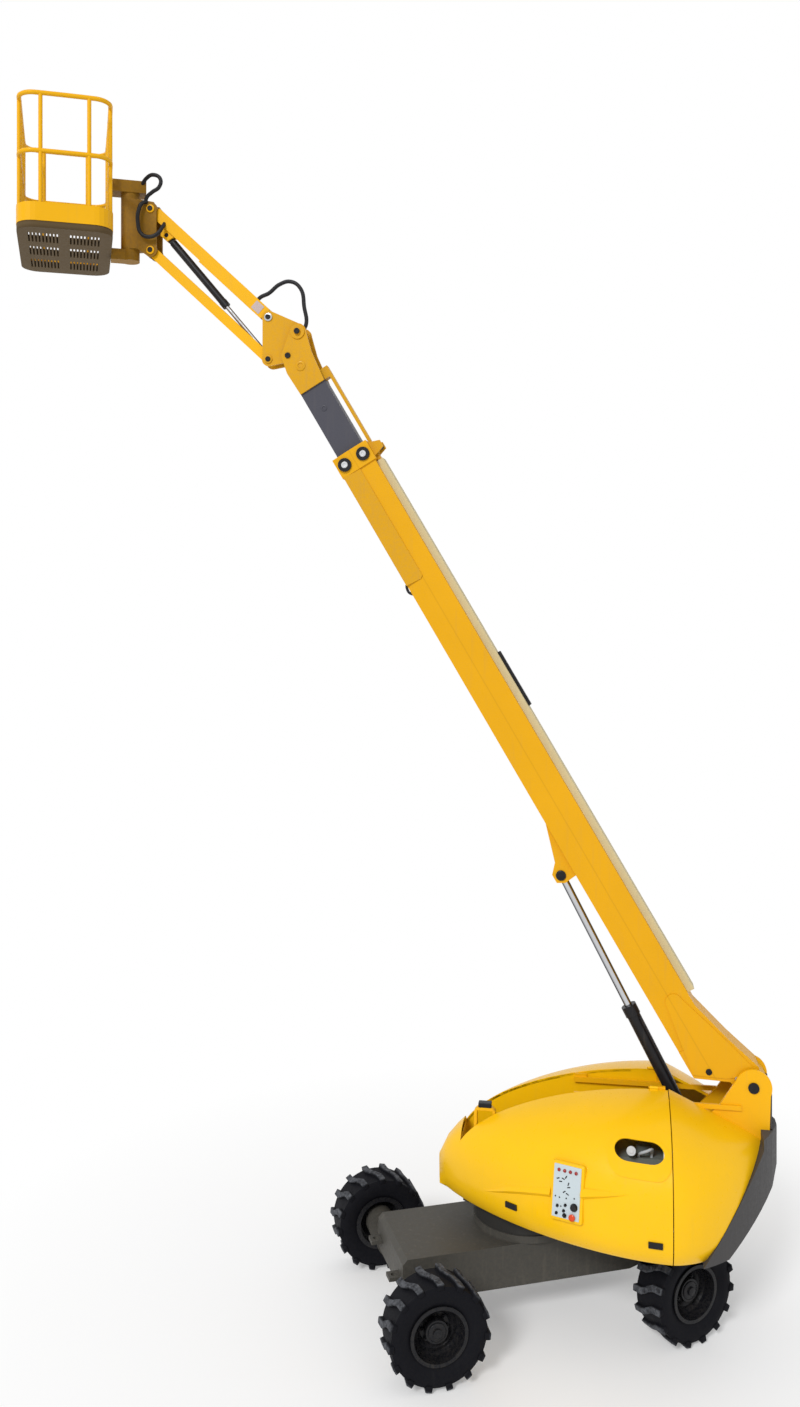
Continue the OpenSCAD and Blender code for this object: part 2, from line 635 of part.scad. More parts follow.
module tube_loop(z) {
  a = rail_d / 2;
  for (s = [-1, 1]) {
    translate([near_x + rail_r, s * (half_y - a), z]) rotate([0, 90, 0])
      cylinder(d = rail_d, h = basket_x - 2 * rail_r);
    x_side = s > 0 ? far_x - a : near_x + a;
    translate([x_side, -half_y + rail_r, z]) rotate([-90, 0, 0]) cylinder(d = rail_d, h = basket_y - 2 * rail_r);
  }
  for (cx = [0, 1], cy = [0, 1])
    translate([cx ? far_x - rail_r : near_x + rail_r, cy ? half_y - rail_r : -half_y + rail_r, z])
      rotate([0, 0, cx ? (cy ? 0 : 270) : (cy ? 90 : 180)])
        rotate_extrude(angle = 90) translate([rail_r - a, 0]) circle(d = rail_d);
}

post_places = [for (x = [near_x + 110, (near_x + far_x) / 2, far_x - 110], s = [-1, 1])
  [x, s * (half_y - rail_d / 2)]];
side_places = [for (y = [-300, 300], x = [near_x + rail_d / 2, far_x - rail_d / 2]) [x, y]];

module basket_rails() color(yellow) on_basket() {
  tube_loop(rail_z);
  tube_loop(rail_z - 0.45 * rail_h);
  for (p = concat(post_places, side_places)) translate([p[0], p[1], floor_z + 60])
    cylinder(d = rail_d - 4, h = rail_h);
}

module basket_floor() color([0.45, 0.38, 0.2]) on_basket() difference() {
  translate([0, 0, floor_z]) linear_extrude(60) loop_path(0, 60);
  for (gy = [-1, 1], r = [0:2], k = [0:4])
    translate([near_x + 150 + k * (basket_x - 300) / 4, gy * (170 + r * 190), floor_z - 1])
      cylinder(d = 50, h = 70);
}

module toe_board() color(yellow) on_basket() translate([0, 0, floor_z + 60]) linear_extrude(150) difference() {
  loop_path(0, 60);
  loop_path(6, 54);
  for (p = concat(post_places, side_places)) translate(p) circle(d = rail_d - 4);
}

module basket_mount() color(yellow) on_basket() {
  box(-140, near_x - fit, -90, 90, rotor_top + fit, rotor_top + 110);
  translate([0, 0, floor_z - 40]) cylinder(d = 60 - 2 * fit, h = rotor_top - floor_z + 60);
  translate([0, 0, floor_z - 40]) cylinder(d = 170, h = rotor_z - fit - floor_z + 40);
  box(0, near_x - fit, -70, 70, floor_z - 40, floor_z + 58);
}

chassis_frame();
drive_axle();
steer_axle();
slew_ring();
knuckle_left();
knuckle_right();
track_rod();
tyre_drive_left();
rim_drive_left();
tyre_drive_right();
rim_drive_right();
tyre_steer_left();
rim_steer_left();
tyre_steer_right();
rim_steer_right();
turntable();
counterweight();
tail_cover();
rear_grille();
boom_rest_post();
boom_rest_pad();
engine_block();
fluid_tank();
pivot_pins();
hood_left();
control_panel();
latches_left();
hood_right();
latches_right();
boom_outer();
wear_pads();
hose_tray();
lift_barrel();
lift_rod();
boom_inner();
boom_head();
hose_tube();
jib_root();
jib_upper();
jib_lower();
jib_barrel();
jib_rod();
jib_tip();
basket_mount();
basket_floor();
toe_board();
basket_rails();
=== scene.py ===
import bpy
import math
from mathutils import Matrix, Vector


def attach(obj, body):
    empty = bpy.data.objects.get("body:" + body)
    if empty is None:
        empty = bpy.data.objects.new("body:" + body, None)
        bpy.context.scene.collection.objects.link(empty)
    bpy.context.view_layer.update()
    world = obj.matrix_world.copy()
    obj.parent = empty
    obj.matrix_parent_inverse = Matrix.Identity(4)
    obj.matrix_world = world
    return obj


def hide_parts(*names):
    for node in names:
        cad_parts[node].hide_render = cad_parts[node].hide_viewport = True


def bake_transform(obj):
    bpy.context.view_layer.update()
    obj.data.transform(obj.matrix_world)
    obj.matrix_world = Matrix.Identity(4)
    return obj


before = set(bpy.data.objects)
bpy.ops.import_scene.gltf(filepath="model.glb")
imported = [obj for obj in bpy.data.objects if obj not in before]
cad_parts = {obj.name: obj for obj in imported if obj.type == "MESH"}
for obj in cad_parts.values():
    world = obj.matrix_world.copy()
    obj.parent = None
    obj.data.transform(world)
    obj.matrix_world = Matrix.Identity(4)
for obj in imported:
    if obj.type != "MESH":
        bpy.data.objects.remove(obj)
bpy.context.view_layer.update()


# Chassis: a welded steel box between the axles, sprayed grey-brown and dulled by road dust.
# The coat has a fine spray texture, and dust lies thicker on it the nearer it is to the ground.
def node_group(name, inputs, outputs):
    tree = bpy.data.node_groups.new(name, "ShaderNodeTree")
    for label, kind, value in inputs:
        tree.interface.new_socket(label, in_out="INPUT", socket_type=kind).default_value = value
    for label, kind in outputs:
        tree.interface.new_socket(label, in_out="OUTPUT", socket_type=kind)
    return tree, tree.nodes.new("NodeGroupInput"), tree.nodes.new("NodeGroupOutput")


def add(tree, kind, **settings):
    made = tree.nodes.new(kind)
    for key, value in settings.items():
        if key in made.inputs:
            made.inputs[key].default_value = value
        else:
            setattr(made, key, value)
    return made


def feed(tree, socket, value):
    if isinstance(value, bpy.types.NodeSocket):
        tree.links.new(value, socket)
    else:
        socket.default_value = value


def blend_colours(tree, mask, low, high, mode="MIX"):
    mix = add(tree, "ShaderNodeMix", data_type="RGBA", blend_type=mode)
    for socket, value in ((0, mask), (6, low), (7, high)):
        feed(tree, mix.inputs[socket], value)
    return mix.outputs[2]


def maths(tree, operation, first, second=0.0):
    step = add(tree, "ShaderNodeMath", operation=operation)
    feed(tree, step.inputs[0], first)
    feed(tree, step.inputs[1], second)
    return step.outputs[0]


def ramp(tree, source, low, high, out_low=0.0, out_high=1.0):
    step = add(tree, "ShaderNodeMapRange", clamp=True)
    for label, value in (("Value", source), ("From Min", low), ("From Max", high),
                         ("To Min", out_low), ("To Max", out_high)):
        feed(tree, step.inputs[label], value)
    return step.outputs["Result"]


coat_group, coat_in, coat_out = node_group("sprayed_coat", [
    ("Paint", "NodeSocketColor", (0.5, 0.5, 0.5, 1)), ("Dust", "NodeSocketColor", (0.2, 0.17, 0.13, 1)),
    ("Dust amount", "NodeSocketFloat", 0.3), ("Dust top", "NodeSocketFloat", 1.2),
    ("Gloss", "NodeSocketFloat", 0.35)],
    [("Color", "NodeSocketColor"), ("Roughness", "NodeSocketFloat"), ("Height", "NodeSocketFloat")])
place = add(coat_group, "ShaderNodeTexCoord")
patches = add(coat_group, "ShaderNodeTexNoise", Scale=1.3, Detail=4.0, Roughness=0.6)
specks = add(coat_group, "ShaderNodeTexNoise", Scale=38.0, Detail=3.0, Roughness=0.65)
peel = add(coat_group, "ShaderNodeTexNoise", Scale=240.0, Detail=2.0)
streaks = add(coat_group, "ShaderNodeTexNoise", Scale=1.0, Detail=3.0)
stretch = add(coat_group, "ShaderNodeMapping", Scale=(24.0, 24.0, 1.6))
height = add(coat_group, "ShaderNodeSeparateXYZ")
coat_group.links.new(stretch.outputs["Vector"], streaks.inputs["Vector"])
for texture in (patches, specks, peel, stretch, height):
    coat_group.links.new(place.outputs["Object"], texture.inputs["Vector"])
near_ground = ramp(coat_group, maths(coat_group, "DIVIDE", height.outputs["Z"], coat_in.outputs["Dust top"]),
                   0.0, 1.0, 1.0, 0.12)
dusty = maths(coat_group, "MULTIPLY", coat_in.outputs["Dust amount"], maths(
    coat_group, "MULTIPLY", near_ground, ramp(coat_group, specks.outputs["Fac"], 0.35, 0.72)))
cloudy = blend_colours(coat_group, patches.outputs["Fac"], (0.9, 0.9, 0.9, 1), (1.06, 1.06, 1.06, 1))
shade = blend_colours(coat_group, 1.0, coat_in.outputs["Paint"], cloudy, "MULTIPLY")
run = blend_colours(coat_group, maths(coat_group, "MULTIPLY", coat_in.outputs["Dust amount"], ramp(
    coat_group, streaks.outputs["Fac"], 0.56, 0.8, 0.0, 0.8)), shade, coat_in.outputs["Dust"])
for label, value in (
        ("Color", blend_colours(coat_group, dusty, run, coat_in.outputs["Dust"])),
        ("Roughness", maths(coat_group, "ADD", coat_in.outputs["Gloss"],
                            ramp(coat_group, specks.outputs["Fac"], 0.3, 0.8, -0.05, 0.16))),
        ("Height", peel.outputs["Fac"])):
    coat_group.links.new(value, coat_out.inputs[label])


def painted(name, colour, gloss, dust=0.3, dust_top=1.2, relief=0.00012, clear=0.0, shine=0.2, metal=0.0,
            dust_colour=(0.2, 0.17, 0.13)):
    material = bpy.data.materials.new(name)
    material.use_nodes = True
    tree = material.node_tree
    skin = tree.nodes["Principled BSDF"]
    coat = add(tree, "ShaderNodeGroup", node_tree=coat_group)
    for label, value in (("Paint", (*colour, 1)), ("Dust", (*dust_colour, 1)), ("Dust amount", dust),
                         ("Dust top", dust_top), ("Gloss", gloss)):
        coat.inputs[label].default_value = value
    bump = add(tree, "ShaderNodeBump", Strength=0.35, Distance=relief)
    tree.links.new(coat.outputs["Color"], skin.inputs["Base Color"])
    tree.links.new(coat.outputs["Roughness"], skin.inputs["Roughness"])
    tree.links.new(coat.outputs["Height"], bump.inputs["Height"])
    tree.links.new(bump.outputs["Normal"], skin.inputs["Normal"])
    skin.inputs["Metallic"].default_value = metal
    skin.inputs["Specular IOR Level"].default_value = shine
    skin.inputs["Coat Weight"].default_value = clear
    skin.inputs["Coat Roughness"].default_value = 0.12
    return material


def finish(material, *names):
    for name in names:
        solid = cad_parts[name]
        solid.data.materials.clear()
        solid.data.materials.append(material)


chassis_grey = painted("chassis_grey", (0.058, 0.055, 0.048), 0.5, dust=0.4, dust_top=1.0,
                       dust_colour=(0.13, 0.115, 0.09))
finish(chassis_grey, "chassis_frame", "drive_axle", "steer_axle", "slew_ring", "knuckle_left", "knuckle_right")


# Wheels: block-tread tyres on dished steel rims that are painted black, held by eight nuts round a hub cap.
# The rubber is worn to a blue-grey on the lug tops and stays near black in the grooves and on the walls.
def own_axes(material, centre):
    tree = material.node_tree
    where = add(tree, "ShaderNodeTexCoord")
    spot = add(tree, "ShaderNodeMapping", vector_type="TEXTURE", Location=centre.to_translation(),
               Rotation=centre.to_euler())
    axes = add(tree, "ShaderNodeSeparateXYZ")
    tree.links.new(where.outputs["Object"], spot.inputs["Vector"])
    tree.links.new(spot.outputs["Vector"], axes.inputs["Vector"])
    return axes.outputs


def overlay(material, mask, colour):
    tree = material.node_tree
    base = tree.nodes["Principled BSDF"].inputs["Base Color"]
    tree.links.new(blend_colours(tree, mask, base.links[0].from_socket, (*colour, 1)), base)


tyre_r = 0.42
rim_r = 0.215
tyre_half = 0.160
tread_r = tyre_r - 0.034
worn_depth = (0.022, 0.004)


def worn_tyre(name, wheel):
    material = painted(name, (0.0060, 0.0062, 0.0085), 0.6, dust=0.15, dust_top=1.6, relief=0.0005, shine=0.06,
                       dust_colour=(0.03, 0.029, 0.028))
    tree = material.node_tree
    axes = own_axes(material, wheel)
    scuffs = add(tree, "ShaderNodeTexNoise", Scale=26.0, Detail=4.0, Roughness=0.7)
    tree.links.new(add(tree, "ShaderNodeTexCoord").outputs["Object"], scuffs.inputs["Vector"])
    squares = [maths(tree, "POWER", maths(tree, "ABSOLUTE", axes[axis]), 2.0) for axis in ("X", "Z")]
    reach = maths(tree, "SQRT", maths(tree, "ADD", *squares))
    lug_tops = ramp(tree, reach, tyre_r - worn_depth[0], tyre_r - worn_depth[1])
    overlay(material, maths(tree, "MULTIPLY", lug_tops, ramp(tree, scuffs.outputs["Fac"], 0.36, 0.66, 0.15, 1.0)),
            (0.105, 0.110, 0.122))
    return material


def fresh():
    bpy.ops.object.select_all(action="DESELECT")


def settle(piece, matrix):
    piece.matrix_world = matrix
    fresh()
    piece.select_set(True)
    bpy.context.view_layer.objects.active = piece
    bpy.ops.object.transform_apply(location=True, rotation=True, scale=True)
    return piece


def open_mesh():
    bpy.ops.object.mode_set(mode="EDIT")
    bpy.ops.mesh.select_all(action="SELECT")


def close_mesh():
    bpy.ops.mesh.select_all(action="SELECT")
    bpy.ops.mesh.normals_make_consistent(inside=False)
    bpy.ops.object.mode_set(mode="OBJECT")


weld = 0.0001
crisp = math.radians(40)


def turned(name, radius, steps, sides=32):
    fresh()
    bpy.ops.mesh.primitive_circle_add(vertices=sides, radius=radius, fill_type="NGON")
    piece = bpy.context.object
    piece.name = name
    open_mesh()
    for rise, scale in steps:
        bpy.ops.mesh.extrude_region_move(TRANSFORM_OT_translate={"value": (0.0, 0.0, rise)})
        bpy.ops.transform.resize(value=(scale, scale, 1.0), center_override=(0.0, 0.0, 0.0))
    close_mesh()
    bpy.ops.object.shade_smooth_by_angle(angle=crisp)
    return piece


def ring(name, section, sides):
    fresh()
    bpy.ops.mesh.primitive_circle_add(vertices=sides, radius=section[0][0], fill_type="NOTHING",
                                      location=(0.0, 0.0, section[0][1]))
    piece = bpy.context.object
    piece.name = name
    bpy.ops.object.transform_apply(location=True, rotation=False, scale=False)
    open_mesh()
    for (old_r, old_z), (new_r, new_z) in zip(section, section[1:]):
        bpy.ops.mesh.extrude_edges_move(TRANSFORM_OT_translate={"value": (0.0, 0.0, new_z - old_z)})
        bpy.ops.transform.resize(value=(new_r / old_r, new_r / old_r, 1.0), center_override=(0.0, 0.0, 0.0))
    bpy.ops.mesh.select_all(action="SELECT")
    bpy.ops.mesh.remove_doubles(threshold=weld)
    close_mesh()
    bpy.ops.object.shade_smooth_by_angle(angle=crisp)
    return piece


def drawn_line(name, points, handles="VECTOR", closed=True):
    fresh()
    bpy.ops.curve.primitive_bezier_curve_add()
    line = bpy.context.object
    line.name = name
    line.data.dimensions = "3D"
    line.data.resolution_u = 1
    spline = line.data.splines[0]
    spline.bezier_points.add(len(points) - 2)
    for knot, point in zip(spline.bezier_points, points):
        knot.co = point
        knot.handle_left_type = knot.handle_right_type = handles
    spline.use_cyclic_u = closed
    return line


def outline(name, points, depth, edge=0.0):
    line = drawn_line(name, [(x, y, 0.0) for x, y in points])
    line.data.dimensions = "2D"
    line.data.fill_mode = "BOTH"
    line.data.extrude = depth / 2
    bpy.ops.object.convert(target="MESH")
    open_mesh()
    bpy.ops.mesh.remove_doubles(threshold=weld)
    bpy.ops.mesh.dissolve_limited(angle_limit=math.radians(1))
    if edge:
        bpy.ops.mesh.select_all(action="SELECT")
        bpy.ops.mesh.bevel(offset=edge, segments=1, affect="EDGES")
    close_mesh()
    return bpy.context.object


def copies(piece, matrices):
    made = []
    for matrix in matrices:
        twin = piece.copy()
        twin.data = piece.data.copy()
        bpy.context.collection.objects.link(twin)
        made.append(settle(twin, matrix))
    bpy.data.objects.remove(piece)
    return made


def join(name, pieces):
    fresh()
    for piece in pieces:
        piece.select_set(True)
    bpy.context.view_layer.objects.active = pieces[0]
    bpy.ops.object.join()
    pieces[0].name = name
    return pieces[0]


def hang(piece, body, material, replaced=None):
    piece.data.materials.clear()
    piece.data.materials.append(material)
    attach(piece, body)
    if replaced:
        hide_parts(replaced)


drive_x = 1.1
track_half = 0.9
steer_turn = math.radians(15.0)
kingpin = Vector((-1.0, 0.695, tyre_r))
stub = Matrix.Rotation(steer_turn, 3, "Z") @ Vector((0.0, 0.205, 0.0))
wheels = {"drive_left": (Vector((drive_x, track_half, tyre_r)), 0.0, 1),
          "drive_right": (Vector((drive_x, -track_half, tyre_r)), 0.0, -1),
          "steer_left": (kingpin + stub, steer_turn, 1),
          "steer_right": (Vector((kingpin.x, -kingpin.y, tyre_r)) - stub, steer_turn, -1)}
bead_half = 0.110
tyre_wall = [(rim_r, bead_half), (tyre_r - 0.120, tyre_half - 0.008), (tread_r - 0.03, tyre_half - 0.010),
             (tread_r, tyre_half - 0.022)]
tyre_section = [(r, -y) for r, y in tyre_wall] + tyre_wall[::-1] + [(rim_r, -bead_half)]
lug_count = 15
lug_shape = ((-0.034, 0.156), (0.020, 0.156), (0.030, 0.070), (0.060, 0.008), (0.022, -0.014), (-0.022, 0.056))
lug_top = math.sqrt(tyre_r ** 2 - 0.062 ** 2)
lug_rise = lug_top - tread_r + 0.022
lug_lift = Matrix.Translation((0.0, 0.0, lug_top - lug_rise / 2))
lug_step = math.radians(360.0 / lug_count)
upright = Matrix.Rotation(math.radians(90.0), 4, "X")
nut_ring = 0.104
nut_seat = -0.010
cap_seat = 0.066
nut_count = 8
rim_black = painted("rim_black", (0.007, 0.0075, 0.010), 0.26, dust=0.08)
for corner, (centre, turn, side) in wheels.items():
    wheel = Matrix.Translation(centre) @ Matrix.Rotation(turn, 4, "Z")
    carcass = settle(ring("carcass", tyre_section, 60), wheel @ upright)
    lugs = copies(outline("lug", lug_shape, lug_rise, 0.004), [
        wheel @ Matrix.Rotation(i * lug_step / 2, 4, "Y") @ lug_lift @ Matrix.Rotation(math.pi * (i % 2), 4, "Z")
        for i in range(2 * lug_count)])
    hang(join("tread_" + corner, [carcass] + lugs), "wheel_" + corner, worn_tyre("tyre_" + corner, wheel),
         replaced="tyre_" + corner)
    finish(rim_black, "rim_" + corner)
    outward = wheel @ Matrix.Rotation(math.radians(-90.0 * side), 4, "X")
    nut = turned("nut", 0.016, [(0.018, 1.0), (0.004, 0.85), (0.0, 0.62), (0.012, 0.9)], sides=6)
    nuts = copies(nut, [outward @ Matrix.Rotation(i * 2 * math.pi / nut_count, 4, "Z")
                        @ Matrix.Translation((nut_ring, 0.0, nut_seat)) for i in range(nut_count)])
    cap = settle(turned("cap", 0.072, [(0.012, 1.0), (0.006, 0.9), (0.0, 0.55), (0.016, 1.0), (0.005, 0.8)]),
                 outward @ Matrix.Translation((0.0, 0.0, cap_seat)))
    hang(join("wheel_nuts_" + corner, nuts + [cap]), "wheel_" + corner, rim_black)


# Turret: welded plates and moulded shells in one bright yellow gloss coat, with a cast grey counterweight.
# The shells are smooth mouldings, the plates show a little more texture, and the turntable below the deck top is
# painted dark grey as painted shade under the hoods.
def smooth(name, angle=35.0):
    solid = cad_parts[name]
    solid.modifiers.new("weld", "WELD").merge_threshold = 0.0002
    solid.data.polygons.foreach_set("use_smooth", [True] * len(solid.data.polygons))
    solid.data.update()
    solid.modifiers.new("edges", "EDGE_SPLIT").split_angle = math.radians(angle)


turret = Matrix.Rotation(math.radians(-25.2), 4, "Z")
yellow = (0.80, 0.41, 0.004)
plate_coat = {"gloss": 0.38, "dust": 0.10, "dust_top": 2.0, "clear": 0.04, "shine": 0.14}
yellow_paint = painted("yellow_paint", yellow, **plate_coat)
yellow_moulding = painted("yellow_moulding", (0.88, 0.50, 0.003), 0.30, dust=0.05, dust_top=2.0, clear=0.10,
                          shine=0.16)
counterweight_grey = painted("counterweight_grey", (0.058, 0.056, 0.057), 0.55, dust=0.2, dust_top=2.0,
                             relief=0.0008, dust_colour=(0.1, 0.09, 0.08))
satin_black = painted("satin_black", (0.010, 0.010, 0.012), 0.34, dust=0.12)
# Below the deck top the turntable's colour turns dark grey: painted shade under the hoods.
deck_top = 0.935
turntable_paint_and_shade = painted("turntable_paint_and_shade", yellow, **plate_coat)
deck_shade_rise = own_axes(turntable_paint_and_shade, Matrix.Identity(4))["Z"]
overlay(turntable_paint_and_shade, ramp(turntable_paint_and_shade.node_tree, deck_shade_rise, deck_top, deck_top + 0.002, 1.0, 0.0),
        (0.030, 0.029, 0.027))
finish(turntable_paint_and_shade, "turntable")
finish(yellow_moulding, "hood_left", "hood_right", "tail_cover")
finish(counterweight_grey, "counterweight", "rear_grille")
finish(satin_black, "engine_block", "pivot_pins", "latches_left", "latches_right")
for shell in ("hood_left", "hood_right", "tail_cover"):
    smooth(shell)


# Boom rest: an inverted U of bent steel plate that stands on the deck, painted yellow like the turret.
# A black rubber pad is fixed on its top.
rest_depth = 0.068
deck_z = 0.930
arch = [(0.100, deck_z), (0.092, 1.690), (0.062, 1.720), (-0.062, 1.720), (-0.092, 1.690), (-0.100, deck_z),
        (-0.078, deck_z), (-0.066, 1.694), (0.066, 1.694), (0.078, deck_z)]
rest_place = turret @ Matrix.Translation((0.33, 0.192, 0.0))
hang(settle(outline("rest_post", arch, rest_depth, 0.003), rest_place @ upright),
     "turret", yellow_paint, replaced="boom_rest_post")


def plate(name, width, height, depth, edge):
    fresh()
    bpy.ops.mesh.primitive_cube_add(size=1.0)
    piece = bpy.context.object
    piece.name = name
    piece.scale = (width, height, depth)
    bpy.ops.object.transform_apply(location=False, rotation=False, scale=True)
    open_mesh()
    bpy.ops.mesh.bevel(offset=edge, segments=2, affect="EDGES")
    close_mesh()
    return piece


rest_pad = plate("rest_pad", 0.112, rest_depth, 0.040, 0.005)
hang(settle(rest_pad, rest_place @ Matrix.Translation((0.0, 0.0, 1.740))),
     "turret", satin_black, replaced="boom_rest_pad")


# Slot walls: the hoods turn down into flat walls beside the boom's slot and close it at the nose.
# They belong to the same mouldings, so the hood's own curves give their upper edges.
belt_z = 1.160
hood_top = 1.990
hood_half = 1.120
widest_x = -1.200
nose_reach = 1.960
tail_reach = 0.920
crown_power = 2.6
slot_half = 0.230
slot_back = -1.195
slot_end = 0.540


def hood_width(x):
    share = (x - widest_x) / nose_reach if x > widest_x else (widest_x - x) / tail_reach
    return hood_half * (1.0 - share ** 1.68) ** (1 / 1.3)


def hood_crown(x):
    return belt_z + (hood_top - belt_z) * (1.0 - ((x - widest_x) / nose_reach) ** 2) ** (1 / 1.8)


def slot_edge(x):
    across = (slot_half / hood_width(x)) ** crown_power
    return belt_z + (hood_crown(x) - belt_z) * (1.0 - across) ** (1 / crown_power)


def hood_skin(x, z):
    rise = ((z - belt_z) / (hood_crown(x) - belt_z)) ** crown_power
    return Vector((x, hood_width(x) * (1.0 - rise) ** (1 / crown_power), z))


wall_steps = 16
wall_drop = 0.300
wall_foot = 1.0
wall_x = [slot_back + i * (slot_end - slot_back) / wall_steps for i in range(wall_steps + 1)]
wall_shape = [(x, slot_edge(x) - 0.008) for x in wall_x] + [
    (x, max(slot_edge(x) - wall_drop, wall_foot)) for x in reversed(wall_x)]
end_top = slot_edge(slot_end) - 0.010
for side, cover in ((1, "cover_left"), (-1, "cover_right")):
    wall = settle(outline("wall", wall_shape, 0.010),
                  turret @ Matrix.Translation((0.0, side * (slot_half + 0.005), 0.0)) @ upright)
    end = settle(plate("end", 0.009, slot_half, end_top - wall_foot, 0.002), turret @ Matrix.Translation(
        (slot_end + 0.0045, side * (slot_half / 2 + 0.006), (end_top + wall_foot) / 2)))
    hang(join("slot_wall_" + cover, [wall, end]), cover, yellow_moulding)


# Hood mouldings: two raised creases run out from the control panel and die away along the hood,
# and a lip with rounded ends narrows the oval window above the filler.
def tube(name, points, radius, place=Matrix(), swell=None, roundness=3):
    line = drawn_line(name, [place @ Vector(point) for point in points], "AUTO", closed=False)
    for knot, width in zip(line.data.splines[0].bezier_points, swell or [1.0] * len(points)):
        knot.radius = width
    line.data.bevel_depth = radius
    line.data.bevel_resolution = roundness
    line.data.resolution_u = 10
    line.data.use_fill_caps = True
    bpy.ops.object.convert(target="MESH")
    bpy.ops.object.shade_smooth_by_angle(angle=math.radians(50))
    return bpy.context.object


crease_r = 0.046
front_crease = tube("crease", ((-0.275, 0.848, 1.338), (0.059, 0.677, 1.250), (0.20, 0.579, 1.188),
                               (0.345, 0.467, 1.122)), crease_r, turret, swell=(1.0, 0.70, 0.45, 0.05), roundness=0)
rear_crease = tube("crease", ((-0.512, 0.950, 1.390), (-0.710, 1.003, 1.428), (-0.911, 1.046, 1.466)),
                   crease_r, turret, swell=(1.0, 0.65, 0.05), roundness=0)
hang(join("hood_creases", [front_crease, rear_crease]), "cover_left", yellow_moulding)
window_x = -0.960


def hood_loop(half, middle, width, height):
    flat = []
    for side, start in ((1, -90), (-1, 90)):
        for i in range(13):
            turn = math.radians(start + i * 15)
            flat.append((side * half + width * math.cos(turn), height * math.sin(turn)))
        flat += [(side * half * (1 - share / 3), side * height) for share in (1, 2, 3, 4, 5)]
    return [hood_skin(window_x + x, middle + z) for x, z in flat]


def closed_line(name, points):
    drawn_line(name, points)
    bpy.ops.object.convert(target="MESH")
    open_mesh()
    bpy.ops.mesh.remove_doubles(threshold=weld)
    bpy.ops.object.mode_set(mode="OBJECT")
    return bpy.context.object


def thicken(piece, depth):
    fresh()
    piece.select_set(True)
    bpy.context.view_layer.objects.active = piece
    wall_depth = piece.modifiers.new("thickness", "SOLIDIFY")
    wall_depth.thickness = depth
    wall_depth.offset = 0.0
    bpy.ops.object.modifier_apply(modifier="thickness")
    open_mesh()
    close_mesh()


lip_steps = ((0.130, 1.690, 0.117, 0.117), (0.110, 1.713, 0.109, 0.090), (0.090, 1.736, 0.102, 0.062))
rings = []
for outer, inner in zip(lip_steps, lip_steps[1:]):
    rings.append(join("ring", [closed_line("outer", hood_loop(*outer)), closed_line("inner", hood_loop(*inner))]))
    open_mesh()
    bpy.ops.mesh.bridge_edge_loops()
    bpy.ops.object.mode_set(mode="OBJECT")
window_lip = join("window_lip", rings)
open_mesh()
bpy.ops.mesh.remove_doubles(threshold=0.0005)
close_mesh()
thicken(window_lip, 0.010)
bpy.ops.object.shade_smooth_by_angle(angle=crisp)
lip_yellow = painted("lip_yellow", (0.88, 0.50, 0.006), 0.55, dust=0.08, dust_top=2.0, shine=0.10)
hang(settle(window_lip, turret), "cover_left", lip_yellow)


# Filler: a pale screw cap on a short zinc-coated pipe that leans out of the grey tank behind the oval window,
# with a bent line beside it and a flat grey sheet on the tank's rear end that stands in for the shade inside the
# hood.
cap_white = painted("cap_white", (0.62, 0.64, 0.65), 0.4, dust=0.1)
pipe_zinc = painted("pipe_zinc", (0.50, 0.54, 0.57), 0.34, dust=0.1)
tank_and_shade_sheet_grey = painted("tank_and_shade_sheet_grey", (0.17, 0.19, 0.175), 0.5, dust=0.1)
finish(tank_and_shade_sheet_grey, "fluid_tank")
neck = turret @ Matrix.Translation((-0.900, 0.66, 1.625)) @ Matrix.Rotation(math.radians(-62.0), 4, "X")
neck_foot = Matrix.Translation((0.0, 0.0, -0.13))
neck_top = Matrix.Translation((0.0, 0.0, 0.10))
hang(settle(turned("filler_cap", 0.038, [(0.024, 1.0), (0.004, 0.92), (0.0, 0.6), (0.006, 0.95)]),
            neck @ neck_top), "turret", cap_white)
filler_neck = settle(turned("filler_neck", 0.030, [(0.22, 1.0), (0.0, 1.2), (0.012, 1.0)]), neck @ neck_foot)
bent_line = tube("bent_line", (
    (-1.06, 0.66, 1.57), (-1.065, 0.68, 1.65), (-1.06, 0.73, 1.69), (-1.02, 0.75, 1.68), (-0.98, 0.74, 1.66),
    (-0.965, 0.70, 1.63), (-0.96, 0.66, 1.59), (-0.96, 0.64, 1.56)), 0.012, turret)
hang(join("filler_pipes", [filler_neck, bent_line]), "turret", pipe_zinc)
# This flat grey sheet closes the view through the window to the white surround, standing in for the shade inside the
# hood.
hang(settle(plate("tank_shade_sheet", 0.008, 0.40, 0.62, 0.002), turret @ Matrix.Translation((-1.153, 0.49, 1.46))),
     "turret", tank_and_shade_sheet_grey)


# Control panel: a pale plate with four red lamps, rows of black switches, a round knob and a red stop button,
# set in a raised yellow surround on the hood. Places on it are shares of the plate's width and height,
# from its top left corner.
panel_width = 0.230
panel_height = 0.400
panel_depth = 0.024
surround_edge = 0.025
panel_axes = Matrix(((-1.0, 0.0, 0.0, 0.0), (0.0, 0.0, 1.0, 0.0), (0.0, 1.0, 0.0, 0.0), (0.0, 0.0, 0.0, 1.0)))
panel = (turret @ Matrix.Translation((-0.400, 0.915, 1.385)) @ Matrix.Rotation(math.radians(-20.0), 4, "Z")
         @ Matrix.Rotation(math.radians(9.0), 4, "X") @ Matrix.Translation((0.0, 0.022, 0.0)) @ panel_axes)


def on_panel(across, down, turn=0.0):
    spot = Matrix.Translation(((across - 0.5) * panel_width, (0.5 - down) * panel_height, 0.0))
    return panel @ spot @ Matrix.Rotation(turn, 4, "Z")


